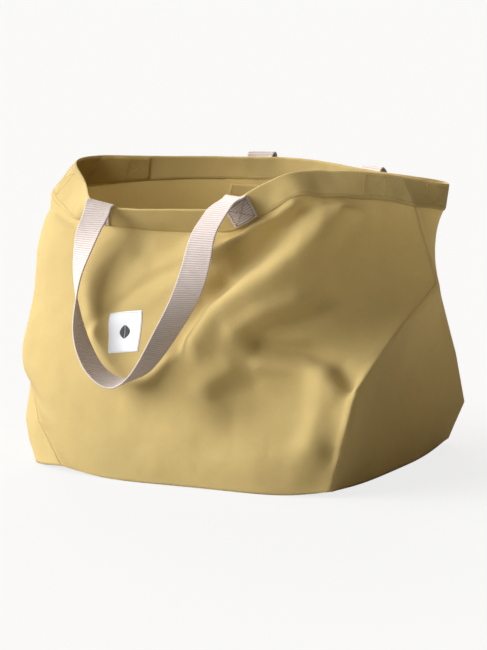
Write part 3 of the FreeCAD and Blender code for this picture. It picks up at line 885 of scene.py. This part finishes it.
# ---------------------------------------------------------------- building the bag
def build():
    canvas = canvas_material("canvas", (0.67, 0.53, 0.235), 0.36)
    # The hem is the same canvas as the panels. Its darker colour is painted shade. Its smaller glow stands
    # for the folded, thicker cloth letting less light through.
    hem_canvas = canvas_material("hem_canvas", (0.58, 0.45, 0.19), 0.22)
    webbing = webbing_material()
    # The webbing's threads are really as pale as the webbing; this dark brown is painted shade, as the sewn
    # ends lie in the strap's shadow.
    thread = thread_material("webbing_thread", (0.24, 0.17, 0.13))
    canvas_thread = thread_material("canvas_thread", (0.50, 0.345, 0.11))

    front = panel_grid(FRONT_LEVELS, 0.60, 0.43, FRONT_FOLDS, seed=5, extra=gathers)
    back = panel_grid(BACK_LEVELS, 0.62, 0.43, seed=5)
    left = panel_grid(LEFT_LEVELS, 0.36, 0.30, seed=5)
    right = panel_grid(RIGHT_LEVELS, 0.40, 0.28, seed=5)
    for node, grid in {"front_panel": front, "back_panel": back, "left_gusset": left,
                       "right_gusset": right}.items():
        obj = sheet_object(node + "_cloth", grid, CANVAS, canvas, rounded=False)
        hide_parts(node)

    outline = np.concatenate([grid[-1, :-1] for grid in (front, right, back, left)])
    centre = outline.mean(0)
    rings = np.linspace(1, 0.02, 24)[:, None, None]
    disc = centre[None, None] + (outline[None] - centre[None, None]) * rings
    rise = 9 * MM * np.clip((rings[:, :, 0] - 0.9) * 10, 0, 1)
    disc[:, :, 2] = np.minimum(disc[:, :, 2], 0.6 * MM + rise)
    base_object(disc, canvas)

    front_band, back_band = finish_bands(band_grid(FRONT_RIM, FRONT_HEM, 260),
                                         band_grid(BACK_RIM, BACK_HEM, 260))
    for node, grid in {"front_rim_band": front_band, "back_rim_band": back_band}.items():
        obj = sheet_object(node + "_cloth", grid, HEM, hem_canvas)
        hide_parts(node)

    hem_line = []
    for grid in (front_band, back_band):
        for offset in (0.0, -HEM):
            hem_line += line_on(grid, [(0.0, HEM_STITCH_LEVEL), (1.0, HEM_STITCH_LEVEL)], offset, 700)
    stitching = stitch_mesh("rim_threads", hem_line, canvas_thread)
    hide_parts("rim_stitching")

    tapes(front_band, back_band, canvas_thread)
    pocket(back, canvas, canvas_thread)
    label(front)
    handle("front_handle", front_band, FRONT_HANDLE_PLACES, FRONT_CRESTS, FRONT_ROUTE, webbing,
           thread)
    handle("back_handle", back_band, BACK_HANDLE_PLACES, BACK_CRESTS, BACK_ROUTE, webbing, thread)


def base_object(disc, material):
    """The base: cloth stretched flat inside the foot of the walls."""
    rings, around = disc.shape[:2]
    lower = disc.reshape(-1, 3).copy()
    upper = lower + np.array([0, 0, CANVAS])
    lower[:, 2] = np.maximum(lower[:, 2], 0)
    faces = []
    for r in range(rings - 1):
        for a in range(around):
            b = (a + 1) % around
            quad = (r * around + a, (r + 1) * around + a, (r + 1) * around + b, r * around + b)
            faces.append(quad)
            faces.append(tuple(i + len(lower) for i in quad[::-1]))
    last = (rings - 1) * around
    faces.append(tuple(last + a for a in range(around)))
    faces.append(tuple(len(lower) + last + a for a in range(around))[::-1])
    for a in range(around):
        b = (a + 1) % around
        faces.append((a, b, b + len(lower), a + len(lower)))
    points = np.concatenate([lower, upper])
    obj = make_object("base_panel_cloth", points, faces, points[:, :2], material)
    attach(obj, "bag")
    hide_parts("base_panel")


def band_length(grid):
    return lengths_along(grid[len(grid) // 2])[-1]


def tapes(front_band, back_band, thread):
    """Ribbed tape inside each end of the mouth, with a stitched box at each of its ends."""
    material = tape_material()
    lines = []
    for node, before, after, reach in (("left_end_tape", back_band, front_band, LEFT_TAPE_REACH),
                                       ("right_end_tape", front_band, back_band, RIGHT_TAPE_REACH)):
        reach_before = reach / band_length(before)
        reach_after = reach / band_length(after)
        inside = -HEM
        first = sub_grid(before, (1 - reach_before, 1, 40), (0.05, 0.93, 14), inside)
        second = sub_grid(after, (0, reach_after, 40), (0.05, 0.93, 14), inside)
        joined = np.concatenate([first[:, :-1], (first[:, -1:] + second[:, :1]) / 2, second[:, 1:]], 1)
        obj = sheet_object(node + "_cloth", joined, TAPE, material)
        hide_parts(node)
        box_before, box_after = TAPE_BOX / band_length(before), TAPE_BOX / band_length(after)
        margin = 0.004
        start, end = 1 - reach_before, reach_after
        for offset in (0.0, -HEM - TAPE):
            for corners in box_cross(start + margin, start + box_before, *TAPE_BOX_LEVELS):
                lines += line_on(before, corners, offset)
            for corners in box_cross(end - box_after, end - margin, *TAPE_BOX_LEVELS):
                lines += line_on(after, corners, offset)
    stitching = stitch_mesh("end_tape_threads", lines, thread)
    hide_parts("end_tape_stitching")


def pocket(back, material, thread):
    """A patch pocket inside the back panel, hanging from under the hem."""
    grid = rectangle_on(back, POCKET_PLACE, (-1, 0, 0), POCKET_HALF_WIDTH, POCKET_HALF_HEIGHT,
                        60, 46, -CANVAS - 0.6 * MM)
    obj = sheet_object("inner_pocket_cloth", grid, POCKET, material)
    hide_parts("inner_pocket")
    corners = [(0.02, 0.0), (0.02, 0.98), (0.98, 0.98), (0.98, 0.0)]
    stitching = stitch_mesh("pocket_threads", line_on(grid, corners, -POCKET, 120), thread)
    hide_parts("pocket_stitching")


def label(front):
    """A plain woven label with a generic leaf mark, sewn round its edge."""
    material = label_material("woven_label", (0.66, 0.69, 0.75))
    grid = rectangle_on(front, LABEL_PLACE, LABEL_RIGHT, LABEL_HALF_WIDTH, LABEL_HALF_HEIGHT,
                        30, 34, LABEL + 0.1 * MM)
    obj = sheet_object("woven_label_cloth", grid, LABEL, material)
    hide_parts("woven_label")
    leaf_mark(grid)
    corners = [(0.03, 0.03), (0.97, 0.03), (0.97, 0.97), (0.03, 0.97), (0.03, 0.03)]
    thread = thread_material("label_thread", (0.72, 0.73, 0.76))
    stitching = stitch_mesh("label_threads", line_on(grid, corners, 0.0, 40), thread, 2.4 * MM)
    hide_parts("label_stitching")


LEAF_TOP, LEAF_LENGTH, LEAF_HALF_WIDTH, LEAF_RIB = 0.30, 0.34, 0.15, 0.006   # shares of the label


def leaf_mark(label):
    """A small generic leaf woven into the label: two halves either side of a bare midrib."""
    ink = label_material("leaf_ink", (0.035, 0.035, 0.045))
    steps = 25
    along = np.linspace(0, 1, steps)
    for side in (-1, 1):
        width = np.sin(along * math.pi) ** 0.8
        height = LEAF_TOP + LEAF_LENGTH * along
        inner = np.stack([np.full(steps, 0.5 + side * LEAF_RIB), height], 1)
        outer = np.stack([0.5 + side * (0.008 + LEAF_HALF_WIDTH * width), height], 1)
        across = np.linspace(0, 1, 5)[:, None, None]
        shares = (inner[None] * (1 - across) + outer[None] * across) if side > 0 else (
            outer[None] * (1 - across) + inner[None] * across)
        columns = shares[:, :, 0].T * (label.shape[1] - 1)
        rows = shares[:, :, 1].T * (label.shape[0] - 1)
        normal = normals_of(label)
        grid = np.array([read_along(label + normal * 0.12 * MM, c, r) for c, r in zip(columns, rows)])
        sheet_object(f"leaf_mark_{'left' if side < 0 else 'right'}", grid, 0.2 * MM, ink, rounded=False)


add_camera()
add_studio()
build()
